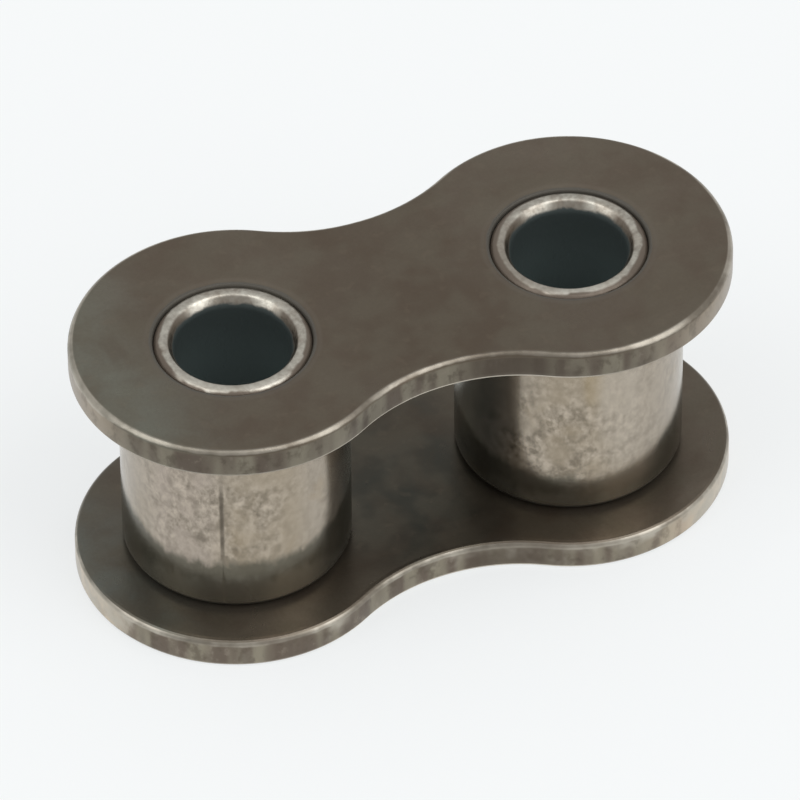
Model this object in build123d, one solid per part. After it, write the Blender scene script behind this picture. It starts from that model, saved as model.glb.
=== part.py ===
"""Inner link of a roller chain, 5/8 inch pitch by 3/8 inch wide.

Two waisted side plates are pressed onto the ends of two bushings. A roller turns freely on each bushing,
between the plates. The link lies on its lower plate.

Frame, in millimetres: the origin is midway between the two bushing axes, on the outer face of the lower
plate. +X runs along the pitch from the left bushing to the right one, +Y across the plates, and +Z along
the bushings.
"""
from build123d import *
import os

# Chain size
PITCH = 15.875                 # between the two bushing axes
INNER_WIDTH = 10.1             # between the inner faces of the plates

# Side plates
PLATE_THICKNESS = 1.4
HEAD_DIAMETER = 14.4           # rounded head round each bushing
WAIST_WIDTH = 10.1             # across the narrow middle
OUTER_EDGE_CHAMFER = 0.2       # blanked edge round the outer face, broken by tumbling
INNER_EDGE_CHAMFER = 0.26      # blanked edge round the inner face, rolled over by the die
SEAT_CHAMFER = 0.06            # mouth of each punched bushing seat

# Bushings
BUSHING_DIAMETER = 7.0         # pressed into the plates, and journal of the roller
BUSHING_BORE = 5.14            # turns on a 5.08 pin
BUSHING_RECESS = 0.02          # from a plate's outer face down to the bushing's end face
BUSHING_LEAD_IN = 0.3          # chamfer that starts the bushing in its seat
BUSHING_MOUTH_WIDTH = 0.3      # how much wider the bore's flared mouth is, at each end
BUSHING_MOUTH_DEPTH = 0.5      # how far the flare reaches into the bore

# Rollers
ROLLER_DIAMETER = 10.16
ROLLER_CLEARANCE = 0.06        # radial, roller on bushing
ROLLER_END_FLOAT = 0.2         # free travel between the plates
ROLLER_REST_GAP = 0.02         # oil film under a roller at rest
ROLLER_CORNER_CHAMFER = 0.4    # outer corners
ROLLER_BORE_CHAMFER = 0.2      # inner corners
SEAM_WIDTH = 0.06              # butt seam of the curled roller, across its mouth
SEAM_DEPTH = 0.05
LEFT_SEAM_ANGLE = -118.3       # degrees about +Z, from +X
RIGHT_SEAM_ANGLE = 60.0

# Worked out from the sizes above
HALF_PITCH = PITCH / 2
HEAD_RADIUS = HEAD_DIAMETER / 2
WAIST_HALF = WAIST_WIDTH / 2
LINK_HEIGHT = INNER_WIDTH + 2 * PLATE_THICKNESS
BUSHING_RADIUS = BUSHING_DIAMETER / 2
BUSHING_LENGTH = LINK_HEIGHT - 2 * BUSHING_RECESS
ROLLER_RADIUS = ROLLER_DIAMETER / 2
ROLLER_LENGTH = INNER_WIDTH - ROLLER_END_FLOAT
ROLLER_BASE = PLATE_THICKNESS + ROLLER_REST_GAP


def plate_outline():
    """Two round heads, joined on each side by a concave arc that is tangent to both of them."""
    waist_radius = (HALF_PITCH**2 + WAIST_HALF**2 - HEAD_RADIUS**2) / (2 * (HEAD_RADIUS - WAIST_HALF))
    waist_centre_y = WAIST_HALF + waist_radius
    head_share = HEAD_RADIUS / (HEAD_RADIUS + waist_radius)
    join_x = HALF_PITCH * (1 - head_share)
    join_y = waist_centre_y * head_share
    end_x = HALF_PITCH + HEAD_RADIUS
    with BuildSketch() as outline:
        with BuildLine():
            ThreePointArc((-join_x, join_y), (0, WAIST_HALF), (join_x, join_y))
            ThreePointArc((join_x, join_y), (end_x, 0), (join_x, -join_y))
            ThreePointArc((join_x, -join_y), (0, -WAIST_HALF), (-join_x, -join_y))
            ThreePointArc((-join_x, -join_y), (-end_x, 0), (-join_x, join_y))
        make_face()
    return outline.sketch


def side_plate():
    """A waisted plate with broken edges and two bushing seats. Its outer face, at height 0, looks down."""
    with BuildPart() as plate:
        with BuildSketch():
            add(plate_outline())
        extrude(amount=PLATE_THICKNESS)
        outer_face, inner_face = plate.faces().filter_by(Axis.Z).sort_by(Axis.Z)
        chamfer(outer_face.edges(), OUTER_EDGE_CHAMFER)
        chamfer(inner_face.edges(), INNER_EDGE_CHAMFER)
        with Locations((-HALF_PITCH, 0), (HALF_PITCH, 0)):
            Hole(BUSHING_RADIUS)
        seat_mouths = [wire for face in plate.faces().filter_by(Axis.Z) for wire in face.inner_wires()]
        chamfer([wire.edge() for wire in seat_mouths], SEAT_CHAMFER)
    return plate.part


def bushing(x):
    """A sleeve, flush with the plates, with a lead-in and a flared bore mouth at each end."""
    bore_radius = BUSHING_BORE / 2
    end_section = [
        (bore_radius, BUSHING_MOUTH_DEPTH),
        (bore_radius + BUSHING_MOUTH_WIDTH, 0),
        (BUSHING_RADIUS - BUSHING_LEAD_IN, 0),
        (BUSHING_RADIUS, BUSHING_LEAD_IN),
    ]
    other_end = [(radius, BUSHING_LENGTH - depth) for radius, depth in reversed(end_section)]
    with BuildPart() as sleeve:
        with BuildSketch(Plane.XZ):
            Polygon(*end_section, *other_end, align=None)
        revolve(axis=Axis.Z)
    return Pos(x, 0, BUSHING_RECESS) * sleeve.part


def roller(x, seam_angle):
    """A sleeve with chamfered corners, and the shallow groove of its butt seam along one side."""
    bore_radius = BUSHING_RADIUS + ROLLER_CLEARANCE
    seam_root = ROLLER_RADIUS - SEAM_DEPTH
    with BuildPart() as sleeve:
        with BuildSketch(Plane.XZ) as section:
            with Locations(((ROLLER_RADIUS + bore_radius) / 2, ROLLER_LENGTH / 2)):
                Rectangle(ROLLER_RADIUS - bore_radius, ROLLER_LENGTH)
            chamfer(section.vertices().group_by(Axis.X)[-1], ROLLER_CORNER_CHAMFER)
            chamfer(section.vertices().group_by(Axis.X)[0], ROLLER_BORE_CHAMFER)
        revolve(axis=Axis.Z)
        with BuildSketch():
            seam_opening = ROLLER_RADIUS + SEAM_DEPTH
            Polygon((seam_root, 0), (seam_opening, SEAM_WIDTH), (seam_opening, -SEAM_WIDTH), align=None)
        extrude(amount=ROLLER_LENGTH, mode=Mode.SUBTRACT)
    return Pos(x, 0, ROLLER_BASE) * Rot(0, 0, seam_angle) * sleeve.part


NODES = {
    "lower_plate": side_plate(),
    "upper_plate": Pos(0, 0, LINK_HEIGHT) * Rot(180, 0, 0) * side_plate(),
    "left_bushing": bushing(-HALF_PITCH),
    "right_bushing": bushing(HALF_PITCH),
    "left_roller": roller(-HALF_PITCH, LEFT_SEAM_ANGLE),
    "right_roller": roller(HALF_PITCH, RIGHT_SEAM_ANGLE),
}

os.makedirs("parts", exist_ok=True)
for name, solid in NODES.items():
    solid.label = name
    export_step(solid, f"parts/{name}.step")
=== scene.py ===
"""Looks of a roller chain inner link: side plates, bushings and rollers in worn steel, on a pale floor."""
import bmesh
import bpy
from bpy.props import FloatProperty, FloatVectorProperty, PointerProperty
from math import atan2, cos, hypot, pi, radians, sin
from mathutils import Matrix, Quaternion, Vector


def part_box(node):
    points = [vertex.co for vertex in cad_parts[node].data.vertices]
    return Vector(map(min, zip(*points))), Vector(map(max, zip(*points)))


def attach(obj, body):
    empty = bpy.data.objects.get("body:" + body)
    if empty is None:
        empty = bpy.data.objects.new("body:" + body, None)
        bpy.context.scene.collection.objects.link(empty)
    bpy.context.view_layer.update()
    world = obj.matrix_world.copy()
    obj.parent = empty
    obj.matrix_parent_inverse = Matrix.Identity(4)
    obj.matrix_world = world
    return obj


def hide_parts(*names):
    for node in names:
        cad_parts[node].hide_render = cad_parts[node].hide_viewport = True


bl_info = {
    "name": "Roller chain inner link",
    "version": (1, 0, 0),
    "blender": (4, 5, 0),
    "location": "3D View > Sidebar > Chain link",
    "description": "Models the side plates, bushings and rollers of a roller chain inner link",
    "category": "Add Mesh",
}

MM = 0.001
SAME = 1e-6         # metres; places that are nearer than this are one place

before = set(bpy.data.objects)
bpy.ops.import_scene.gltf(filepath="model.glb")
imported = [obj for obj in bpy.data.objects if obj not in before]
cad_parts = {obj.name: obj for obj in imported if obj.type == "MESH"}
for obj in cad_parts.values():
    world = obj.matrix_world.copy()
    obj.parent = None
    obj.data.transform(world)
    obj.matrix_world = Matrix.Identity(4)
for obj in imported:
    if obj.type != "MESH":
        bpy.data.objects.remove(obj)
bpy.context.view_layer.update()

# Places that the frame gives
UPPER_LOW, UPPER_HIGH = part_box("upper_plate")
LOWER_LOW, LOWER_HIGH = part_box("lower_plate")
BUSHING_LOW, BUSHING_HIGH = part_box("right_bushing")
ROLLER_LOW, ROLLER_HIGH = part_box("right_roller")
PLATE_THICKNESS = UPPER_HIGH.z - UPPER_LOW.z
HALF_PITCH = (BUSHING_LOW.x + BUSHING_HIGH.x) / 2
SEAT_RADIUS = (BUSHING_HIGH.x - BUSHING_LOW.x) / 2
ROLLER_RADIUS = (ROLLER_HIGH.x - ROLLER_LOW.x) / 2

FRONT = (-0.375, -0.927)    # across the floor, the way that the link's front looks


# ------------------------------------------------ sizes and colours that a user would change

def length(name, description, millimetres):
    return FloatProperty(name=name, description=description, default=millimetres * MM, min=0.0,
                         precision=5, unit="LENGTH", subtype="DISTANCE")


def colour(name, description, value):
    return FloatVectorProperty(name=name, description=description, default=value, min=0.0, max=1.0,
                               size=3, subtype="COLOR")


class LINK_PG_side_plates(bpy.types.PropertyGroup):
    head_diameter: length("Head diameter", "Across the round end of a side plate", 14.4)
    waist_width: length("Waist width", "Across the narrow middle of a side plate", 10.1)
    upper_rounding: length("Upper rounding", "Radius that the die leaves round the upper face", 0.33)
    lower_rounding: length("Lower rounding", "Radius round the lower face, left sharper by the die", 0.15)
    dish_diameter: length("Dish diameter", "Of the shallow dish round each punched seat", 7.9)
    dish_depth: length("Dish depth", "Of the dish, at the mouth of the seat", 0.03)
    mouth_diameter: length("Mouth diameter", "Of the rounded mouth of each seat", 7.12)
    steel: colour("Steel", "Oiled dark steel of the flat faces", (0.136, 0.11, 0.083))
    cooler: colour("Cooler steel", "Greener oxide at the left end", (0.185, 0.188, 0.153))
    blanked: colour("Blanked edge", "Barer steel of the blanked edges", (0.2, 0.172, 0.138))
    # The worn rim colour is also laid where the rims catch the light, as a painted highlight
    worn: colour("Worn rim", "Bright steel where the rims are rubbed", (0.5, 0.46, 0.39))
    # The seat colour is dried oil and soot, and also painted shade in the mouths of the seats
    grime_and_shade: colour("Grime and shade", "Dried oil and soot in the seats", (0.095, 0.087, 0.072))


class LINK_PG_bushings(bpy.types.PropertyGroup):
    outer_rounding: length("Outer rounding", "Radius on the outer corner of each end", 0.38)
    mouth_width: length("Mouth width", "How much wider than the bore its flared mouth is, all round", 0.3)
    mouth_depth: length("Mouth depth", "How far the flare reaches into the bore", 0.5)
    mouth_rounding: length("Mouth rounding", "Cut off each corner of the flare", 0.12)
    steel: colour("Steel", "Bare steel of the end faces", (0.52, 0.5, 0.44))
    stained: colour("Stained steel", "Brown stain in patches on the end faces", (0.25, 0.2, 0.155))
    # The bore colour is black steel and also painted shade
    bore: colour("Bore", "Blackened steel inside the bore", (0.108, 0.14, 0.136))


class LINK_PG_rollers(bpy.types.PropertyGroup):
    outer_rounding: length("Outer rounding", "Radius on the outer corners", 0.45)
    bore_rounding: length("Bore rounding", "Radius on the inner corners", 0.2)
    seam_width: length("Seam width", "Half of the mouth of the butt seam", 0.05)
    seam_depth: length("Seam depth", "Of the butt seam's groove", 0.02)
    steel: colour("Steel", "Satin steel of the rollers", (0.41, 0.357, 0.29))
    mottled: colour("Mottling", "Duller steel of the grains", (0.24, 0.2, 0.15))
    tarnish: colour("Tarnish", "Brown tarnish on the rollers", (0.3, 0.22, 0.12))
    # The shaded side is painted shade and reflection, darker and bluer, on the side towards the other roller
    shaded: colour("Shaded side", "Blued steel on the side towards the other roller", (0.36, 0.38, 0.345))
    # The foot colour is oil and also painted shade and reflection of the dark lower plate round the foot
    film_and_shade: colour("Foot film", "Dark oil film round the foot", (0.196, 0.184, 0.149))


class LINK_PG_stage(bpy.types.PropertyGroup):
    floor: colour("Floor", "Plain pale floor", (0.94, 0.96, 0.965))
    sky: colour("Studio", "Soft white light from all sides", (1.0, 1.0, 1.0))


# ------------------------------------------------ modelling helpers

def deselect_all():
    for thing in bpy.context.selected_objects:
        thing.select_set(False)


def begin(name, primitive, **settings):
    """Adds a primitive as a new piece, with its place in its mesh, and opens it in edit mode."""
    deselect_all()
    primitive(**settings)
    piece = bpy.context.active_object
    piece.name = name
    bpy.ops.object.transform_apply(location=True, rotation=True, scale=True)
    bpy.ops.object.mode_set(mode="EDIT")
    bpy.ops.mesh.select_all(action="SELECT")
    return piece


def pick_vertices(piece, test):
    """Selects the vertices whose place passes the test, and what lies wholly between them."""
    bpy.ops.mesh.select_mode(type="VERT")
    mesh = bmesh.from_edit_mesh(piece.data)
    for vertex in mesh.verts:
        vertex.select_set(bool(test(vertex.co)))
    mesh.select_flush_mode()
    bmesh.update_edit_mesh(piece.data)


def pick_edges(piece, test):
    """Selects the edges whose two ends both pass the test."""
    bpy.ops.mesh.select_mode(type="EDGE")
    mesh = bmesh.from_edit_mesh(piece.data)
    for edge in mesh.edges:
        edge.select_set(all(test(vertex.co) for vertex in edge.verts))
    mesh.select_flush_mode()
    bmesh.update_edit_mesh(piece.data)


def make_solid():
    """Merges doubles and turns all faces outwards."""
    bpy.ops.mesh.select_all(action="SELECT")
    bpy.ops.mesh.remove_doubles(threshold=SAME)
    bpy.ops.mesh.normals_make_consistent(inside=False)


def close_up(sharp_degrees=35):
    """Closes the piece, leaves edit mode and shades it, with corners kept sharp above an angle."""
    bpy.ops.mesh.select_mode(type="VERT")
    make_solid()
    bpy.ops.object.mode_set(mode="OBJECT")
    bpy.ops.object.shade_smooth_by_angle(angle=radians(sharp_degrees))


def apply_modifier(piece, kind, **settings):
    made = piece.modifiers.new(kind.title(), kind)
    for name, value in settings.items():
        setattr(made, name, value)
    bpy.ops.object.modifier_apply(modifier=made.name)


def even_shading(piece):
    """Lets large faces lead the shading, so that the flat ones look flat beside their rounded edges."""
    apply_modifier(piece, "WEIGHTED_NORMAL", mode="FACE_AREA", weight=50, keep_sharp=True)


def copy_of(piece, name, shift):
    """A copy with its own mesh, moved in its mesh."""
    copy = piece.copy()
    copy.data = piece.data.copy()
    copy.name = name
    bpy.context.collection.objects.link(copy)
    for vertex in copy.data.vertices:
        vertex.co += shift
    return copy


def stand_for(piece, node, body, material):
    """Gives the piece its material, hides the solid that it stands for, and puts the piece on its body."""
    piece.data.materials.clear()
    piece.data.materials.append(material)
    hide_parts(node)
    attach(piece, body)


def from_axis(place):
    """Distance from the nearer bushing's axis."""
    return hypot(abs(place.x) - HALF_PITCH, place.y)


# ------------------------------------------------ node helpers

class Wiring:
    """A node tree, with one short call for each kind of node that the finishes use."""

    def __init__(self, tree):
        self.tree = tree

    def node(self, kind, **settings):
        made = self.tree.nodes.new("ShaderNode" + kind)
        for name, value in settings.items():
            setattr(made, name, value)
        return made

    def feed(self, socket, value):
        if isinstance(value, bpy.types.NodeSocket):
            self.tree.links.new(value, socket)
        else:
            socket.default_value = value

    def math(self, operation, *values):
        made = self.node("Math", operation=operation)
        for socket, value in zip(made.inputs, values):
            self.feed(socket, value)
        return made.outputs[0]

    def chain(self, operation, first, *others):
        for other in others:
            first = self.math(operation, first, other)
        return first

    def product(self, *factors):
        return self.chain("MULTIPLY", *factors)

    def total(self, *terms):
        return self.chain("ADD", *terms)

    def less(self, *terms):
        return self.chain("SUBTRACT", *terms)

    def fade(self, value, low, high, start=0.0, end=1.0):
        """Goes smoothly from start, at low, to end, at high."""
        made = self.node("MapRange", interpolation_type="SMOOTHSTEP")
        for name, number in (("Value", value), ("From Min", low), ("From Max", high),
                             ("To Min", start), ("To Max", end)):
            self.feed(made.inputs[name], number)
        return made.outputs[0]

    def window(self, value, rise, fall, top=1.0):
        """Goes up from 0 to top over the rise, and down again over the fall."""
        return self.product(self.fade(value, *rise), self.fade(value, *fall, top, 0.0))

    def blend(self, factor, first, second):
        """Mixes two numbers."""
        made = self.node("Mix", data_type="FLOAT")
        for socket, value in zip(made.inputs[:1] + made.inputs[2:4], (factor, first, second)):
            self.feed(socket, value)
        return made.outputs[0]

    def mix(self, factor, first, second):
        """Mixes two colours."""
        made = self.node("Mix", data_type="RGBA")
        for socket, value in zip(made.inputs[:1] + made.inputs[6:8], (factor, first, second)):
            self.feed(socket, value)
        return made.outputs[2]

    def layers(self, base, *layers):
        """Lays colours over the base in turn. Each layer is how much of it covers, and its colour."""
        for cover, tone in layers:
            base = self.mix(cover, base, tone)
        return base

    def place(self, scale=(1.0, 1.0, 1.0)):
        """The point on the piece, in millimetres. A scale below 1 draws a pattern out along that axis."""
        spot = self.node("TexCoord").outputs["Object"]
        made = self.node("VectorMath", operation="MULTIPLY")
        self.feed(made.inputs[0], spot)
        made.inputs[1].default_value = [factor / MM for factor in scale]
        return made.outputs[0]

    def facing(self, axis):
        """How squarely the surface faces along an axis: 1 along it, -1 against it."""
        return self.parts(self.node("TexCoord").outputs["Normal"])[axis]

    def parts(self, vector):
        made = self.node("SeparateXYZ")
        self.feed(made.inputs[0], vector)
        return made.outputs

    def noise(self, place, size, detail=2.0, roughness=0.5, distortion=0.0):
        """Soft noise. size is the millimetres across a lump, or a socket with the lumps to a millimetre."""
        made = self.node("TexNoise")
        self.feed(made.inputs["Vector"], place)
        self.feed(made.inputs["Scale"], size if isinstance(size, bpy.types.NodeSocket) else 1.0 / size)
        made.inputs["Detail"].default_value = detail
        made.inputs["Roughness"].default_value = roughness
        made.inputs["Distortion"].default_value = distortion
        return made.outputs["Fac"]

    def distance(self, spot, centre):
        """Distance, in millimetres, from a fixed point on the piece."""
        made = self.node("VectorMath", operation="DISTANCE")
        self.feed(made.inputs[0], spot)
        made.inputs[1].default_value = centre
        return made.outputs["Value"]

    def group(self, name, **values):
        """A node group. Its inputs are given in lower case, with underscores for spaces."""
        made = self.node("Group", node_tree=bpy.data.node_groups[name])
        for socket_name, value in values.items():
            self.feed(made.inputs[socket_name.replace("_", " ").capitalize()], value)
        return made.outputs

    def bump(self, height, depth_mm, after=None):
        """Relief on the surface, on top of the relief that comes before it."""
        made = self.node("Bump")
        made.inputs["Distance"].default_value = depth_mm * MM
        self.feed(made.inputs["Height"], height)
        if after is not None:
            self.feed(made.inputs["Normal"], after)
        return made.outputs[0]


def new_group(name, inputs, outputs):
    """A node group of numbers. Returns its wiring, its inputs inside and its outputs inside."""
    tree = bpy.data.node_groups.new(name, "ShaderNodeTree")
    for label, default in inputs.items():
        socket = tree.interface.new_socket(name=label, in_out="INPUT", socket_type="NodeSocketFloat")
        socket.default_value = default
    for label in outputs:
        tree.interface.new_socket(name=label, in_out="OUTPUT", socket_type="NodeSocketFloat")
    given = tree.nodes.new("NodeGroupInput").outputs
    out = tree.nodes.new("NodeGroupOutput").inputs
    return Wiring(tree), given, out


def group_grain():
    """Fine satin grain left by tumbling and hardening."""
    w, given, out = new_group("Steel grain", {"Per mm": 6.0}, ("Shade", "Height"))
    grain = w.noise(w.place(), given["Per mm"], detail=3.0, roughness=0.6)
    w.feed(out["Shade"], grain)
    w.feed(out["Height"], grain)


def group_blotches():
    """Cloudy patches of oil and oxide, with small spots among them."""
    w, given, out = new_group("Oil blotches", {"Per mm": 0.3}, ("Cloud", "Spots"))
    place = w.place()
    fine = w.noise(place, w.product(given["Per mm"], 5.0), detail=2.0)
    w.feed(out["Cloud"], w.noise(place, given["Per mm"], detail=4.0, roughness=0.55, distortion=0.6))
    w.feed(out["Spots"], w.fade(fine, 0.58, 0.72))


def group_edges():
    """Masks from how far the surface faces up or down: rims, rims that look down, and walls. With them come
    the stretches where a rim's worn colour and painted highlight are stronger."""
    w, _, out = new_group("Rims and walls", {}, ("Facing", "Rim", "Underside", "Wall", "Stretches"))
    facing = w.facing(2)
    slope = w.math("ABSOLUTE", facing)
    underside = w.product(w.fade(facing, -0.22, -0.04, 1.0, 0.0), w.fade(facing, -0.995, -0.9))
    chips = w.noise(w.place(), 0.8, detail=2.0, roughness=0.6)
    stretches = w.noise(w.place(), 2.4, detail=1.0)
    w.feed(out["Facing"], facing)
    w.feed(out["Rim"], w.window(slope, (0.05, 0.4), (0.9, 0.995)))
    w.feed(out["Underside"], underside)
    w.feed(out["Wall"], w.fade(slope, 0.1, 0.5, 1.0, 0.0))
    w.feed(out["Stretches"], w.fade(w.total(chips, stretches), 0.8, 1.2))


def group_streaks():
    """Upright scores that the blanking die leaves on an edge, wider bands between them, and torn spots."""
    w, given, out = new_group("Die scores", {"Per mm": 3.0}, ("Streaks", "Bands", "Tears"))
    w.feed(out["Streaks"], w.noise(w.place((1.0, 1.0, 0.25)), given["Per mm"], detail=3.0, roughness=0.6))
    w.feed(out["Bands"], w.noise(w.place((1.0, 1.0, 0.12)), 0.85, detail=1.0))
    w.feed(out["Tears"], w.noise(w.place((1.0, 1.0, 0.7)), 0.6, detail=3.0, roughness=0.6))


def group_grains():
    """Soft grains from dark to light, dark ones by themselves, and the patches where they are stronger."""
    w, given, out = new_group("Grainy mottling", {"Per mm": 3.0}, ("Tone", "Grains", "Patches"))
    place = w.place((1.0, 1.0, 0.75))
    fine = w.noise(place, given["Per mm"], detail=2.0, roughness=0.6)
    broad = w.noise(place, w.product(given["Per mm"], 0.4), detail=1.0)
    tone = w.blend(0.25, fine, broad)
    w.feed(out["Tone"], w.fade(tone, 0.3, 0.7))
    w.feed(out["Grains"], w.fade(tone, 0.5, 0.7))
    w.feed(out["Patches"], w.fade(w.noise(place, 1.3, detail=2.0), 0.36, 0.6, 0.35, 1.0))


def group_seats():
    """Distance from the nearer bushing's axis, dried oil and soot in its seat with painted shade, and the
    edge of its dish, painted lighter as wear and as a highlight.
    """
    w, _, out = new_group("Bushing seats", {}, ("Distance", "Grime and shade", "Dish"))
    x, y, _ = w.parts(w.place())
    along = w.less(w.math("ABSOLUTE", x), HALF_PITCH / MM)
    distance = w.math("SQRT", w.total(w.product(along, along), w.product(y, y)))
    ragged = w.less(w.noise(w.place(), 0.8, detail=3.0), 0.5)
    edge = w.total(distance, w.product(ragged, 0.14))
    w.feed(out["Distance"], distance)
    w.feed(out["Grime and shade"], w.fade(edge, 3.6, 3.72, 1.0, 0.0))
    w.feed(out["Dish"], w.window(edge, (3.68, 3.78), (3.82, 3.97)))


def build_groups():
    for build in (group_grain, group_blotches, group_edges, group_streaks, group_grains, group_seats):
        build()


def new_material(name):
    """A material with a metal Principled shader. Returns it, its wiring and the shader's inputs."""
    material = bpy.data.materials.new(name)
    material.use_nodes = True
    wiring = Wiring(material.node_tree)
    shader = wiring.tree.nodes["Principled BSDF"].inputs
    shader["Metallic"].default_value = 1.0
    return material, wiring, shader


def rgb(value):
    return (*value, 1.0)


def toned(tone, *factors):
    """The colour times one factor, or times one for each channel."""
    factors = factors * 3 if len(factors) == 1 else factors
    return rgb([part * factor for part, factor in zip(tone, factors)])


# ------------------------------------------------ finishes

def plate_steel(name, colours, between, heads, left, front, walls, far, rubbed_and_lit, band):
    """Dark oiled plate steel: flat faces with faint clouds, scored edges, worn rims painted brighter as
    highlights, and dried oil and soot in the seats with painted shade.

    between, heads and left are the tones of the face between the rollers, on the heads and at the left end;
    on the lower plate they are darker, as painted shade under the upper plate. front is how much lighter it
    is along its front, as painted light. walls and far are the tones of the blanked edge, all round and at
    both ends, where far paints a sheen. rubbed_and_lit is how worn and how brightly painted the upward rim
    is, and band its steepest and its flattest worn part."""
    material, w, shader = new_material(name)
    steel, cooler, blanked, worn, grime_and_shade = colours
    middle = toned(steel, *between)
    steel = toned(steel, heads)[:3]
    blanked = toned(blanked, walls)[:3]
    clouds = w.group("Oil blotches", per_mm=0.28)
    edges = w.group("Rims and walls")
    scores = w.group("Die scores", per_mm=2.2)
    seats = w.group("Bushing seats")
    grain = w.group("Steel grain", per_mm=7.0)
    spot = w.place()
    x, y, _ = w.parts(spot)
    from_middle = w.math("ABSOLUTE", x)

    # Flat faces
    # The face between the rollers takes the between tone; on the lower plate it is painted shade under the
    # upper plate
    inward = w.product(w.fade(from_middle, 1.5, 5.5, 1.0, 0.0), w.fade(y, -5.2, -2.5, 0.7, 1.0))
    # paler lifts the face to the right and to the back, and along the front by front, which is painted light
    # on the lower plate
    paler = w.total(w.fade(x, 3.0, 12.0, 0.0, 0.1), w.fade(y, -5.0, 6.0, 0.0, 0.14),
                    w.fade(y, -6.4, -4.2, front, 0.0))
    flecks = w.noise(spot, 1.7, detail=2.0)
    face = w.layers(
        rgb(steel),
        (inward, middle),
        (w.fade(x, -14.5, -9.0, 1.0, 0.0), toned(cooler, *left)),
        (paler, toned(steel, 2.0, 2.1, 2.2)),
        (w.fade(clouds["Cloud"], 0.35, 0.7, 0.0, 0.6), toned(steel, 0.84, 0.77, 0.72)),
        (w.fade(flecks, 0.35, 0.65, 0.0, 0.4), toned(steel, 1.2, 1.32, 1.3)),
        (w.product(clouds["Spots"], 0.16), toned(steel, 1.5, 1.5, 1.45)),
        (w.fade(grain["Shade"], 0.3, 0.7, 0.0, 0.12), toned(steel, 0.6)),
    )

    # Blanked edge, with a painted sheen at both ends of the link, and duller in front on the right of the
    # waist
    end_sheen = w.product(w.total(w.fade(x, 7.5, 13.0), w.fade(x, -15.2, -14.0, 1.1, 0.0)),
                          w.fade(scores["Tears"], 0.45, 0.65, 1.0, 0.6))
    dull = w.product(w.window(x, (0.2, 1.6), (3.6, 6.4)), w.math("LESS_THAN", y, 0.0))
    wall = w.layers(
        toned(blanked, 0.68, 0.63, 0.62),
        (w.fade(scores["Bands"], 0.36, 0.64), toned(blanked, 1.25, 1.3, 1.24)),
        (w.fade(scores["Streaks"], 0.35, 0.65, 0.0, 0.25), toned(blanked, 0.75)),
        (w.fade(scores["Tears"], 0.5, 0.68, 0.0, 0.6), toned(blanked, 0.5, 0.47, 0.44)),
        (w.fade(scores["Tears"], 0.3, 0.42, 0.4, 0.0), toned(blanked, 1.4)),
        # Painted sheen at both ends of the link
        (end_sheen, toned(blanked, far, far * 0.97, far * 0.93)),
        (w.product(dull, 0.8), toned(blanked, 0.48, 0.45, 0.43)),
    )

    # Rims: worn, with the worn colour laid where they catch the light as a painted highlight; chipped, and
    # fainter along some spans, each given by both its ends and how much fainter it is
    spans = ((-13.6, -9.4, 0.4), (-6.4, -2.6, 0.6), (4.4, 8.0, 0.35))
    ramp = 1.4
    fainter = w.total(*(w.window(x, (start, start + ramp), (end - ramp, end), share)
                        for start, end, share in spans))
    steep, flat = band
    steep = w.less(steep, w.product(end_sheen, 0.35))
    chipped = w.noise(spot, 2.4, detail=3.0, roughness=0.65)
    facing = w.total(edges["Facing"], w.product(w.less(chipped, 0.5), 0.9))
    # The worn colour, laid where the rims catch the light as a painted highlight
    bare_and_highlight = w.product(w.fade(facing, steep, w.total(steep, 0.25)), w.fade(chipped, 0.36, 0.52, 0.45, 1.1),
                     w.fade(edges["Facing"], flat, flat + 0.08, 1.0, 0.0),
                     w.blend(edges["Stretches"], 0.55, 1.0), w.fade(dull, 0.0, 1.0, 1.0, 0.4),
                     w.less(1.0, fainter), rubbed_and_lit)
    # Rims that look down are painted lighter, as wear and as painted light
    bare_below_and_highlight = w.product(edges["Underside"], w.fade(from_middle, 4.5, 7.5, 0.9, 0.4))

    w.feed(shader["Base Color"], w.layers(
        face,
        (edges["Wall"], wall),
        # The dish edge is painted lighter, as wear and as a painted highlight
        (w.product(seats["Dish"], 0.3), rgb(blanked)),
        (bare_and_highlight, rgb(worn)),
        (bare_below_and_highlight, toned(worn, 1.3)),
        # The seats are darkened with dried oil and soot and with painted shade
        (seats["Grime and shade"], rgb(grime_and_shade)),
    ))
    metallic = w.blend(edges["Underside"], w.blend(edges["Wall"], 0.75, 0.95), 0.4)
    w.feed(shader["Metallic"], w.blend(seats["Grime and shade"], metallic, 0.3))
    rough = w.fade(clouds["Cloud"], 0.3, 0.7, 0.27, 0.34)
    rough = w.blend(edges["Rim"], w.blend(edges["Wall"], rough, 0.32), 0.32)
    rough = w.blend(edges["Underside"], rough, 0.5)
    w.feed(shader["Roughness"], w.blend(seats["Grime and shade"], rough, 0.6))
    normal = w.bump(grain["Height"], 0.004)
    normal = w.bump(w.product(chipped, edges["Rim"]), 0.04, after=normal)
    normal = w.bump(w.product(scores["Streaks"], edges["Wall"]), 0.004, after=normal)
    w.feed(shader["Normal"], w.bump(w.product(scores["Bands"], edges["Wall"]), 0.012, after=normal))
    return material


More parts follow.
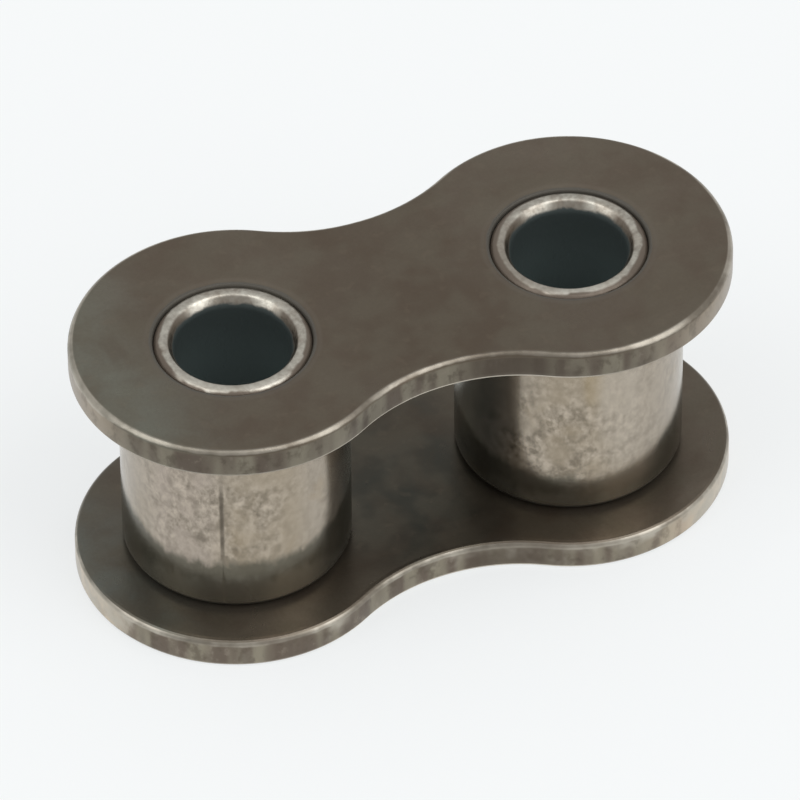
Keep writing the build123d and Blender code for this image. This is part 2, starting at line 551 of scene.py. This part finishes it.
def bushing_steel(colours):
    """Bare end faces, bright in patches and stained between them, painted brighter at the front and darker
    on the flare between its highlights, soot and painted shade round the outer corners, and a bore of black
    steel with painted shade.
    """
    material, w, shader = new_material("Bushing steel")
    steel, stained, bore = colours
    grain = w.group("Steel grain", per_mm=5.0)
    grains = w.group("Grainy mottling", per_mm=3.0)
    clouds = w.group("Oil blotches", per_mm=1.1)
    edges = w.group("Rims and walls")
    seats = w.group("Bushing seats")
    x, y, height = w.parts(w.place())

    # Where a point lies: its depth below the nearer end, and its side, from -1 at the front to 1 at the back
    middle = (BUSHING_HIGH.z + BUSHING_LOW.z) / 2 / MM
    half = (BUSHING_HIGH.z - BUSHING_LOW.z) / 2 / MM
    depth = w.less(half, w.math("ABSOLUTE", w.less(height, middle)))
    out_of_centre = w.less(x, w.product(w.math("SIGN", x), HALF_PITCH / MM))
    behind = w.total(w.product(out_of_centre, -FRONT[0]), w.product(y, -FRONT[1]))
    turned = w.math("DIVIDE", behind, seats["Distance"])

    # End faces and flares, painted brighter at the front and, on the flare, darker but for a band behind, as
    # painted highlights and the shade between them
    duller = w.product(w.fade(out_of_centre, -3.0, -1.0, 0.4, 0.0), w.math("GREATER_THAN", x, 0.0))
    flare = w.fade(seats["Distance"], 2.8, 2.9, 1.0, 0.0)
    dull = w.total(w.fade(turned, 0.6, 0.82, 0.8, 0.0), w.fade(turned, 0.93, 0.98, 0.0, 0.55))

    # Soot and painted shade outside a reach measured out from the axis, which is longer at the front and at
    # the back, so that those sides stay lighter
    rubbed_and_lit = w.product(w.fade(turned, -0.99, -0.95, 0.4, 1.0), w.fade(turned, -0.82, -0.55, 0.13, 0.0),
                       w.fade(x, -2.0, 2.0, 1.0, 0.85))
    rubbed_behind = w.product(w.fade(turned, 0.2, 0.8), w.fade(x, -2.0, 2.0, 0.24, 0.12))
    reach = w.total(rubbed_and_lit, w.fade(x, -2.0, 2.0, 3.17, 3.12), rubbed_behind,
                    w.fade(grains["Patches"], 0.2, 0.9, 0.06, -0.05))
    soot_and_shade = w.fade(w.less(seats["Distance"], reach), 0.0, 0.12)
    face = w.layers(
        rgb(steel),
        (w.fade(clouds["Cloud"], 0.44, 0.66, 0.0, 0.6), rgb(stained)),
        (0.35, w.mix(grains["Tone"], toned(steel, 1.7), toned(stained, 0.9))),
        # Lighter towards the front: a painted highlight
        (w.fade(turned, -0.9, -0.5, 0.35, 0.0), toned(steel, 1.5)),
        (duller, rgb(stained)),
        # On the flare, darker but for a band behind: painted shade between painted highlights
        (w.product(flare, dull), toned(stained, 0.7)),
        (soot_and_shade, toned(stained, 0.6)),
    )

    # Bore, from a ragged edge below the flare: black steel, painted darker at the mouth and lighter deep
    # inside, which evens out the light that falls in at the mouth
    ragged = w.total(depth, w.product(clouds["Cloud"], 0.3))
    inside = w.product(w.fade(ragged, 0.42, 0.56), w.fade(seats["Distance"], 2.9, 3.1, 1.0, 0.0))
    # Darker at the mouth and lighter deep inside: painted shade and painted light that even out the bore
    blackened_and_shaded = w.mix(w.fade(depth, 0.5, 4.5), toned(bore, 0.4), toned(bore, 1.3))
    w.feed(shader["Base Color"], w.mix(inside, face, blackened_and_shaded))
    w.feed(shader["Metallic"], w.blend(inside, w.fade(soot_and_shade, 0.5, 1.0, 1.0, 0.45), 0.25))
    w.feed(shader["Roughness"], w.blend(inside, w.fade(grain["Shade"], 0.3, 0.7, 0.28, 0.42), 0.55))
    normal = w.bump(grain["Height"], 0.006)
    w.feed(shader["Normal"], w.bump(grains["Grains"], 0.006, after=normal))
    return material


def roller_steel(name, colours, axis_x, seam_angle, patch_angle, patch_height, shaded_from, foot, smears):
    """Satin steel, grainy where the chain wheel wears it, with tarnish, a dark band round its foot that is
    oil and painted shade and reflection of the dark lower plate, a dark butt seam, and painted shade, darker
    and bluer, on the side towards the other roller, all fixed to the roller's own axis.

    patch_angle and patch_height place the grainy patch. shaded_from is how squarely the surface has to face
    the other roller before the painted shade begins, and foot is how high the dark band reaches. Each of the
    smears is its turn about the axis, its height, its size, its strength and its tone."""
    material, w, shader = new_material(name)
    steel, mottled, tarnish, shaded, film_and_shade = colours
    grain = w.group("Steel grain", per_mm=6.0)
    grains = w.group("Grainy mottling", per_mm=3.0)
    edges = w.group("Rims and walls")
    clouds = w.group("Oil blotches", per_mm=0.45)
    scores = w.group("Die scores", per_mm=1.4)
    spot = w.place()
    x, y, z = w.parts(spot)
    axis = axis_x / MM
    out_of_centre = w.less(x, axis)

    def along(turn_x, turn_y):
        """How far a point lies from the axis along a level direction."""
        return w.total(w.product(out_of_centre, turn_x), w.product(y, turn_y))

    def on_wall(turn, height):
        """The point on the roller's wall at a turn about its axis."""
        radius = ROLLER_RADIUS / MM
        return (axis + radius * cos(turn), radius * sin(turn), height)

    on_right = w.math("GREATER_THAN", x, 0.0)
    towards = w.product(w.facing(0), -1.0 if axis_x > 0 else 1.0)
    front = along(*FRONT)
    aside = w.less(w.product(y, FRONT[0]), w.product(out_of_centre, FRONT[1]))

    # Satin wall, tarnish and smears
    face = w.layers(
        rgb(steel),
        (w.fade(scores["Streaks"], 0.4, 0.65, 0.0, 0.35), toned(steel, 0.74)),
        (w.fade(clouds["Cloud"], 0.5, 0.72, 0.0, 0.4), rgb(tarnish)),
        (w.product(on_right, w.fade(y, -1.0, -5.0), 0.3), toned(steel, 0.85)),
    )
    squeeze = 0.25          # makes a smear four times as tall as it is wide
    upright = w.place((1.0, 1.0, squeeze))
    for turn, height, size, strength, tone in smears:
        near = w.distance(upright, on_wall(turn, height * squeeze))
        face = w.mix(w.fade(near, size * 0.4, size, strength, 0.0), face, toned(steel, *tone))

    # Grainy patch and butt seam
    worn = w.fade(w.distance(spot, on_wall(patch_angle, patch_height)), 1.5, 4.6, 1.0, 0.0)
    dull = w.product(grains["Patches"], w.total(w.product(worn, 0.5), 0.25))
    across = along(-sin(seam_angle), cos(seam_angle))
    ahead = along(cos(seam_angle), sin(seam_angle))
    broken = w.fade(w.total(grains["Patches"], clouds["Cloud"]), 0.7, 1.4, 0.35, 1.0)
    seam = w.product(w.fade(w.math("ABSOLUTE", across), 0.03, 0.15, 1.0, 0.0),
                     w.math("GREATER_THAN", ahead, 0.0),
                     w.fade(z, 7.5, 9.5, 1.0, 0.3), w.fade(z, 3.8, 5.4, 0.1, 1.0), broken)

    # Dark band round the foot, oil and painted shade and reflection of the dark lower plate: it reaches
    # higher at the sides than at the front and back, lower and thinner on one side, and is darker above its
    # lowest part
    sag = w.product(w.window(aside, (-0.8, 1.0), (3.2, 4.6)), on_right)
    rise = w.total(w.fade(front, 0.5, 4.8, 1.1, 0.0), w.fade(front, -4.0, -1.0, -0.9, 0.0))
    rise = w.less(rise, w.product(sag, 0.3))
    ragged = w.total(w.product(scores["Streaks"], 1.2), w.product(grains["Grains"], 0.25))
    above = w.less(w.total(z, ragged), rise)
    thin = w.product(sag, w.fade(above, foot - 1.3, foot - 0.2, 0.0, 0.4))
    oil_and_shade = w.product(w.fade(above, foot, foot + 0.7, 1.0, 0.0), w.less(1.0, thin))
    low = w.fade(front, 1.5, 4.6, foot - 2.9, foot - 1.15)
    darker_above = w.total(w.fade(above, low, w.total(low, 0.8)), w.fade(grains["Patches"], 0.4, 1.0, 0.1, -0.2))

    # Painted shade on the sides towards the other roller, and on the ends, where the roller meets the plates
    beside = w.product(w.fade(z, 2.6, 8.0), w.fade(towards, shaded_from - 0.1, 0.99),
                       w.fade(clouds["Cloud"], 0.35, 0.6, 0.5, 1.0), 0.4)
    ends = w.fade(w.math("ABSOLUTE", edges["Facing"]), 0.12, 0.45)
    w.feed(shader["Base Color"], w.layers(
        face,
        (w.product(worn, 0.12), rgb(mottled)),
        (dull, w.mix(grains["Tone"], toned(steel, 1.35, 1.35, 1.36), toned(mottled, 0.62))),
        (w.product(seam, 0.85), toned(mottled, 0.4)),
        # Painted shade and reflection on the side towards the other roller
        (w.fade(towards, shaded_from, shaded_from + 0.3, 0.0, 0.7), rgb(shaded)),
        # The dark foot band: oil and painted shade and reflection of the dark lower plate
        (w.product(oil_and_shade, 0.92), w.mix(darker_above, rgb(film_and_shade), toned(film_and_shade, 0.55, 0.54, 0.5))),
        # Painted shade beside the other roller
        (beside, toned(shaded, 0.27, 0.31, 0.31)),
        # Painted shade on the ends, where the roller meets the plates
        (w.product(ends, 0.8), toned(film_and_shade, 0.35)),
    ))
    satin = w.fade(grain["Shade"], 0.3, 0.7, 0.17, 0.22)
    satin = w.blend(w.fade(towards, shaded_from - 0.1, 0.95), satin, 0.26)
    w.feed(shader["Roughness"], w.blend(ends, satin, 0.6))
    shader["Metallic"].default_value = 0.85
    normal = w.bump(grain["Height"], 0.003)
    relief = w.product(grains["Grains"], dull, w.less(1.0, oil_and_shade), -1.0)
    w.feed(shader["Normal"], w.bump(relief, 0.003, after=normal))
    return material


# ------------------------------------------------ pieces

class LINK_OT_side_plates(bpy.types.Operator):
    """Models one side plate, waisted between its heads, and copies it to the other end of the bushings"""
    bl_idname = "chain_link.side_plates"
    bl_label = "Side plates"

    head_steps = 96               # faces round a head, along a waist's side and across its middle
    waist_steps = 12
    middle_steps = 12
    mouth_slope = 0.13 * MM       # how deep the mouth of a seat narrows to the bushing
    mouth_softening = 0.05 * MM   # rounding of the mouth's and the dish's outer edges
    dish_softening = 0.08 * MM
    square_corner = radians(70)   # sharper than any other corner of the plate
    # On the lower plate, between, heads and left are darker as painted shade under the upper plate, and
    # front is painted light along its front. far paints a sheen on the blanked edge at both ends of each
    # plate, and rubbed_and_lit and band lay the worn colour where the rims catch the light, as painted
    # highlights.
    upper_tones = dict(between=(0.86, 0.83, 0.8), heads=1.0, left=(1.0, 1.0, 1.0), front=0.0,
                       walls=0.85, far=1.9, rubbed_and_lit=0.7, band=(0.42, 0.91))
    lower_tones = dict(between=(0.33, 0.43, 0.46), heads=0.91, left=(0.75, 0.79, 0.85), front=0.66,
                       walls=1.16, far=3.1, rubbed_and_lit=0.9, band=(0.0, 0.7))

    def execute(self, context):
        sizes = context.scene.link_side_plates
        upper = self.quarter_plate(sizes)
        self.whole_plate(upper, sizes)
        lower = copy_of(upper, "side_plate_lower", Vector((0, 0, 0)))
        self.set_down(upper, (UPPER_LOW.z + UPPER_HIGH.z) / 2)
        self.set_down(lower, (LOWER_LOW.z + LOWER_HIGH.z) / 2)
        colours = (sizes.steel, sizes.cooler, sizes.blanked, sizes.worn, sizes.grime_and_shade)
        upper_steel = plate_steel("Upper side plate steel", colours, **self.upper_tones)
        lower_steel = plate_steel("Lower side plate steel", colours, **self.lower_tones)
        stand_for(upper, "upper_plate", "frame", upper_steel)
        stand_for(lower, "lower_plate", "frame", lower_steel)
        return {"FINISHED"}

    @staticmethod
    def set_down(piece, height):
        """Moves the plate to its height and shades it."""
        deselect_all()
        piece.select_set(True)
        bpy.context.view_layer.objects.active = piece
        bpy.ops.object.mode_set(mode="EDIT")
        bpy.ops.mesh.select_all(action="SELECT")
        bpy.ops.transform.translate(value=(0, 0, height))
        bpy.ops.object.mode_set(mode="OBJECT")
        even_shading(piece)

    def quarter_plate(self, sizes):
        """The upper right quarter of the plate, from its upper face to its middle plane at height 0."""
        head, waist = sizes.head_diameter / 2, sizes.waist_width / 2
        top = PLATE_THICKNESS / 2
        waist_radius = (HALF_PITCH**2 + waist**2 - head**2) / (2 * (head - waist))
        waist_centre = waist + waist_radius
        waist_turn = atan2(HALF_PITCH, waist_centre)
        head_turn = pi / 2 + waist_turn

        # Outline of the upper face: one point, swept along the waist, round the head and back to the waist
        plane = bpy.ops.mesh.primitive_plane_add
        piece = begin("side_plate_upper", plane, size=MM, location=(0, waist, top))
        bpy.ops.mesh.merge(type="CENTER")
        for steps, angle, x, y, turn in ((self.waist_steps, waist_turn, 0, waist_centre, -1),
                                         (self.head_steps, 2 * head_turn, HALF_PITCH, 0, 1),
                                         (self.waist_steps, waist_turn, 0, -waist_centre, -1)):
            bpy.ops.mesh.spin(steps=steps, angle=angle, center=(x, y, top), axis=(0, 0, turn))
        bpy.ops.mesh.extrude_region_move(TRANSFORM_OT_translate={"value": (0, 2 * waist, 0)})
        pick_edges(piece, lambda place: abs(place.x) < SAME)
        bpy.ops.mesh.subdivide(number_cuts=self.middle_steps - 1)
        bpy.ops.mesh.select_all(action="SELECT")
        bpy.ops.mesh.remove_doubles(threshold=SAME)

        # Face from the outline in to the dish, and wall from the outline down
        ring = sizes.dish_diameter / 2
        count = self.head_steps + 2 * self.waist_steps + self.middle_steps
        bpy.ops.mesh.primitive_circle_add(vertices=count, radius=ring, location=(HALF_PITCH, 0, top))
        bpy.ops.mesh.select_all(action="SELECT")
        bpy.ops.mesh.bridge_edge_loops()
        pick_edges(piece, lambda place: (place.x > SAME and from_axis(place) > ring + 10 * SAME)
                   or abs(abs(place.y) - waist) < SAME)
        self.keep_boundary(piece)
        bpy.ops.mesh.extrude_region_move(TRANSFORM_OT_translate={"value": (0, 0, -top)})

        # Dish, mouth and wall of the seat. The wall goes down to the middle plane
        wall_height = top - sizes.dish_depth - self.mouth_slope
        for radius, drop in ((sizes.mouth_diameter / 2, sizes.dish_depth), (SEAT_RADIUS, self.mouth_slope),
                             (SEAT_RADIUS, wall_height)):
            pick_edges(piece, lambda place: abs(from_axis(place) - ring) < 2 * SAME and place.z > SAME)
            self.keep_boundary(piece)
            bpy.ops.mesh.extrude_region_move(TRANSFORM_OT_translate={"value": (0, 0, -drop)})
            growth = radius / ring
            bpy.ops.transform.resize(value=(growth, growth, 1), center_override=(HALF_PITCH, 0, 0))
            ring = radius
        bpy.ops.object.mode_set(mode="OBJECT")
        return piece

    @staticmethod
    def keep_boundary(piece):
        """Keeps only the open edges of what is selected."""
        mesh = bmesh.from_edit_mesh(piece.data)
        for edge in mesh.edges:
            edge.select_set(edge.select and edge.is_boundary)
        mesh.select_flush_mode()
        bmesh.update_edit_mesh(piece.data)

    def whole_plate(self, piece, sizes):
        """Mirrors the quarter both ways and rounds its edges."""
        apply_modifier(piece, "MIRROR", use_axis=(True, False, True), merge_threshold=SAME)
        bpy.ops.object.mode_set(mode="EDIT")
        make_solid()
        half = PLATE_THICKNESS / 2
        for height, rounding in ((half, sizes.upper_rounding), (-half, sizes.lower_rounding)):
            self.pick_corner(piece, height)
            bpy.ops.mesh.bevel(offset=rounding, segments=6, profile=0.5, affect="EDGES")
        for ring, softening in ((sizes.mouth_diameter / 2, self.mouth_softening),
                                (sizes.dish_diameter / 2, self.dish_softening)):
            pick_edges(piece, lambda place: abs(from_axis(place) - ring) < 2 * SAME)
            bpy.ops.mesh.bevel(offset=softening, segments=3, profile=0.5, affect="EDGES")
        close_up()

    def pick_corner(self, piece, height):
        """Selects the square corner round the plate at one face."""
        bpy.ops.mesh.select_mode(type="EDGE")
        bpy.ops.mesh.select_all(action="DESELECT")
        bpy.ops.mesh.edges_select_sharp(sharpness=self.square_corner)
        mesh = bmesh.from_edit_mesh(piece.data)
        for edge in mesh.edges:
            at_face = all(abs(vertex.co.z - height) < SAME for vertex in edge.verts)
            edge.select_set(edge.select and at_face)
        mesh.select_flush_mode()
        bmesh.update_edit_mesh(piece.data)


def sleeve(name, axis_x, inner, outer, low, high, outer_round, mouth, steps, cuts):
    """A sleeve about an upright axis: a flat section with rounded corners and flared mouths, spun round.

    mouth is the flare's width and depth and the cut off its corners. steps counts the faces round the
    sleeve, and cuts the rings on each wall. The piece stays in edit mode."""
    width, depth, cut = mouth
    bore, wall = axis_x + inner, axis_x + outer
    middle = (bore + wall) / 2

    # Section: a rectangle, rounded outside, with the bore's corners cut, moved out to the flare, cut again
    piece = begin(name, bpy.ops.mesh.primitive_plane_add, size=1.0, rotation=(pi / 2, 0, 0))
    bpy.ops.transform.resize(value=(outer - inner, 1, high - low))
    bpy.ops.transform.translate(value=(middle, 0, (low + high) / 2))
    pick_vertices(piece, lambda place: place.x > middle)
    bpy.ops.mesh.bevel(offset=outer_round, segments=6, profile=0.5, affect="VERTICES")
    pick_vertices(piece, lambda place: abs(place.x - bore) < SAME)
    bpy.ops.mesh.bevel(offset=depth, segments=1, affect="VERTICES")
    pick_vertices(piece, lambda place: abs(place.x - bore - depth) < SAME)
    bpy.ops.transform.translate(value=(width - depth, 0, 0))
    pick_vertices(piece, lambda place: place.x < bore + width + SAME)
    bpy.ops.mesh.bevel(offset=cut, segments=3, profile=0.5, affect="VERTICES")
    bpy.ops.mesh.select_all(action="SELECT")
    bpy.ops.mesh.delete(type="ONLY_FACE")
    pick_edges(piece, lambda place: min(abs(place.x - bore), abs(place.x - wall)) < SAME)
    bpy.ops.mesh.subdivide(number_cuts=cuts)

    bpy.ops.mesh.select_all(action="SELECT")
    bpy.ops.mesh.spin(steps=steps, angle=2 * pi, center=(axis_x, 0, 0), axis=(0, 0, 1))
    make_solid()
    return piece


class LINK_OT_bushings(bpy.types.Operator):
    """Spins one bushing and copies it to the other end of the pitch"""
    bl_idname = "chain_link.bushings"
    bl_label = "Bushings"

    bore_radius = 2.57 * MM
    steps = 128
    cuts = 3

    def execute(self, context):
        sizes = context.scene.link_bushings
        mouth = (sizes.mouth_width, sizes.mouth_depth, sizes.mouth_rounding)
        right = sleeve("bushing_right", HALF_PITCH, self.bore_radius, SEAT_RADIUS, BUSHING_LOW.z,
                       BUSHING_HIGH.z, sizes.outer_rounding, mouth, self.steps, self.cuts)
        close_up()
        even_shading(right)
        left = copy_of(right, "bushing_left", Vector((-2 * HALF_PITCH, 0, 0)))
        steel = bushing_steel((sizes.steel, sizes.stained, sizes.bore))
        stand_for(left, "left_bushing", "frame", steel)
        stand_for(right, "right_bushing", "frame", steel)
        return {"FINISHED"}


class LINK_OT_rollers(bpy.types.Operator):
    """Spins each roller with the groove of its butt seam"""
    bl_idname = "chain_link.rollers"
    bl_label = "Rollers"

    bore_radius = 3.56 * MM
    bore_softening = 0.05 * MM    # cut off both corners of each bore chamfer
    steps = 144
    cuts = 7
    pinkish, yellowed, whitened = (1.08, 1.06, 1.12), (0.86, 0.78, 0.6), (1.16, 1.18, 1.2)
    marks = {
        "left": dict(
            axis_x=-HALF_PITCH, seam_angle=radians(-118.3), patch_angle=radians(-122), patch_height=6.8,
            shaded_from=0.62, foot=4.42,
            smears=((radians(-138), 7.0, 2.2, 0.8, pinkish),
                    (radians(-97), 6.0, 2.6, 0.35, yellowed)),
        ),
        "right": dict(
            axis_x=HALF_PITCH, seam_angle=radians(60.0), patch_angle=radians(-122), patch_height=5.4,
            shaded_from=0.8, foot=3.85,
            smears=((radians(-108), 7.0, 2.8, 0.4, yellowed),
                    (radians(-100), 9.4, 0.7, 0.8, yellowed),
                    (radians(-87), 7.8, 1.5, 0.8, whitened)),
        ),
    }

    def execute(self, context):
        sizes = context.scene.link_rollers
        colours = (sizes.steel, sizes.mottled, sizes.tarnish, sizes.shaded, sizes.film_and_shade)
        for side, marks in self.marks.items():
            piece = self.roller(f"roller_{side}", marks["axis_x"], marks["seam_angle"], sizes)
            steel = roller_steel(f"{side.title()} roller steel", colours, **marks)
            stand_for(piece, f"{side}_roller", f"roller_{side}", steel)
        return {"FINISHED"}

    def roller(self, name, axis_x, seam_angle, sizes):
        """A sleeve with its seam made at turn 0, then turned to its place."""
        mouth = (sizes.bore_rounding, sizes.bore_rounding, self.bore_softening)
        piece = sleeve(name, axis_x, self.bore_radius, ROLLER_RADIUS, ROLLER_LOW.z, ROLLER_HIGH.z,
                       sizes.outer_rounding, mouth, self.steps, self.cuts)
        wall = axis_x + ROLLER_RADIUS - sizes.outer_rounding
        pick_edges(piece, lambda place: place.x > wall and abs(place.y) < SAME)
        bpy.ops.mesh.bevel(offset=sizes.seam_width, segments=2, profile=0.5, affect="EDGES")
        pick_vertices(piece, lambda place: place.x > wall and abs(place.y) < SAME)
        bpy.ops.transform.translate(value=(-sizes.seam_depth, 0, 0))
        bpy.ops.mesh.select_all(action="SELECT")
        bpy.ops.transform.rotate(value=-seam_angle, orient_axis="Z", center_override=(axis_x, 0, 0))
        close_up(sharp_degrees=30)
        even_shading(piece)
        return piece


class LINK_OT_stage(bpy.types.Operator):
    """Lays the pale floor, and sets the soft light and the camera"""
    bl_idname = "chain_link.stage"
    bl_label = "Stage"

    front_turn = -112               # degrees, the way that the link's front looks
    softboxes = (("Left softbox", -64, 0.32, 1.3), ("Right softbox", 60, 0.4, 1.6))    # turn, width, level
    softbox_height = 0.75
    softbox_lift = 43               # degrees above the floor
    softbox_distance = 0.62
    sky_level = (0.565, 0.78)       # from the sides, and from straight above
    floor_glow = 0.65               # how much of the floor that is seen is its own even light
    camera_turn = (-21.998, 43.606, -0.488)    # degrees round the link, above the floor, and of roll
    pitch = 15.875 * MM             # the unit of the next two
    camera_distance = 28.69
    camera_target = (-0.0099, -0.0048, 0.4)
    target_lift = 0.08 * MM
    frame_width = 800
    pitch_in_frame = 360.03         # how wide one pitch is in a frame of that width

    def execute(self, context):
        sizes = context.scene.link_stage
        self.floor(sizes)
        self.light(sizes)
        self.camera()
        context.scene.view_settings.view_transform = "Standard"
        return {"FINISHED"}

    def floor(self, sizes):
        """A plain floor that looks evenly lit, and still takes the link's soft shadow."""
        floor = begin("floor", bpy.ops.mesh.primitive_plane_add, size=2.0, location=(0, 0, -0.01 * MM))
        bpy.ops.object.mode_set(mode="OBJECT")
        material = bpy.data.materials.new("Pale floor")
        material.use_nodes = True
        w = Wiring(material.node_tree)
        shader = w.tree.nodes["Principled BSDF"]
        shader.inputs["Base Color"].default_value = rgb(sizes.floor)
        shader.inputs["Roughness"].default_value = 1.0
        shader.inputs["Specular IOR Level"].default_value = 0.0
        ray = w.node("LightPath").outputs
        mirrored = w.math("MAXIMUM", ray["Is Glossy Ray"], ray["Is Transmission Ray"])
        seen = w.math("MAXIMUM", ray["Is Camera Ray"], mirrored)
        glow = w.node("Emission")
        glow.inputs["Color"].default_value = rgb(sizes.floor)
        mixed = w.node("MixShader")
        w.feed(mixed.inputs[0], w.product(seen, self.floor_glow))
        w.feed(mixed.inputs[1], shader.outputs[0])
        w.feed(mixed.inputs[2], glow.outputs[0])
        w.feed(w.tree.nodes["Material Output"].inputs["Surface"], mixed.outputs[0])
        floor.data.materials.append(material)

    def light(self, sizes):
        """A pale sky, brighter overhead, and the softboxes."""
        world = bpy.data.worlds.new("Soft studio")
        world.use_nodes = True
        background = world.node_tree.nodes["Background"].inputs
        background["Color"].default_value = rgb(sizes.sky)
        w = Wiring(world.node_tree)
        up = w.parts(w.node("TexCoord").outputs["Generated"])[2]
        w.feed(background["Strength"], w.fade(up, 0.6, 1.0, *self.sky_level))
        bpy.context.scene.world = world
        for name, turn, width, level in self.softboxes:
            self.softbox(name, radians(self.front_turn + turn), width, level)

    def softbox(self, name, azimuth, width, level):
        """A tall soft lamp at arm's length that looks at the link. level is its brightness per area."""
        lamp = bpy.data.lights.new(name, "AREA")
        lamp.shape = "RECTANGLE"
        lamp.size, lamp.size_y = width, self.softbox_height
        lamp.energy = level * pi * lamp.size * lamp.size_y
        elevation = radians(self.softbox_lift)
        towards = Vector((cos(azimuth) * cos(elevation), sin(azimuth) * cos(elevation), sin(elevation)))
        light = bpy.data.objects.new(name, lamp)
        light.location = towards * self.softbox_distance
        light.rotation_euler = towards.to_track_quat("Z", "Y").to_euler()
        bpy.context.scene.collection.objects.link(light)

    def camera(self):
        """A long lens, so that the link is seen nearly without perspective."""
        azimuth, elevation, roll = (radians(turn) for turn in self.camera_turn)
        back = Vector((sin(azimuth) * cos(elevation), -cos(azimuth) * cos(elevation), sin(elevation)))
        target = Vector(self.camera_target) * self.pitch + Vector((0, 0, self.target_lift))
        optics = bpy.data.cameras.new("Studio camera")
        optics.sensor_width = 36.0
        optics.lens = self.pitch_in_frame * self.camera_distance / self.frame_width * optics.sensor_width
        optics.clip_start, optics.clip_end = 0.05, 10.0
        camera = bpy.data.objects.new("Studio camera", optics)
        bpy.context.scene.collection.objects.link(camera)
        camera.rotation_mode = "QUATERNION"
        camera.rotation_quaternion = Quaternion(back, roll) @ (-back).to_track_quat("-Z", "Y")
        camera.location = target + back * self.camera_distance * self.pitch
        bpy.context.scene.camera = camera


class LINK_PT_parts(bpy.types.Panel):
    """Lists the pieces of the link and their sizes and colours"""
    bl_label = "Chain link"
    bl_idname = "LINK_PT_parts"
    bl_space_type = "VIEW_3D"
    bl_region_type = "UI"
    bl_category = "Chain link"

    def draw(self, context):
        for operator, _, group in STEPS:
            box = self.layout.box()
            box.operator(operator.bl_idname)
            sizes = getattr(context.scene, group)
            for name in type(sizes).__annotations__:
                box.prop(sizes, name)


STEPS = (
    (LINK_OT_side_plates, LINK_PG_side_plates, "link_side_plates"),
    (LINK_OT_bushings, LINK_PG_bushings, "link_bushings"),
    (LINK_OT_rollers, LINK_PG_rollers, "link_rollers"),
    (LINK_OT_stage, LINK_PG_stage, "link_stage"),
)


def register():
    for operator, sizes, group in STEPS:
        bpy.utils.register_class(sizes)
        bpy.utils.register_class(operator)
        setattr(bpy.types.Scene, group, PointerProperty(type=sizes))
    bpy.utils.register_class(LINK_PT_parts)


def unregister():
    bpy.utils.unregister_class(LINK_PT_parts)
    for operator, sizes, group in STEPS:
        delattr(bpy.types.Scene, group)
        bpy.utils.unregister_class(operator)
        bpy.utils.unregister_class(sizes)


def main():
    register()
    build_groups()
    bpy.ops.chain_link.side_plates()
    bpy.ops.chain_link.bushings()
    bpy.ops.chain_link.rollers()
    bpy.ops.chain_link.stage()


if __name__ == "__main__":
    main()
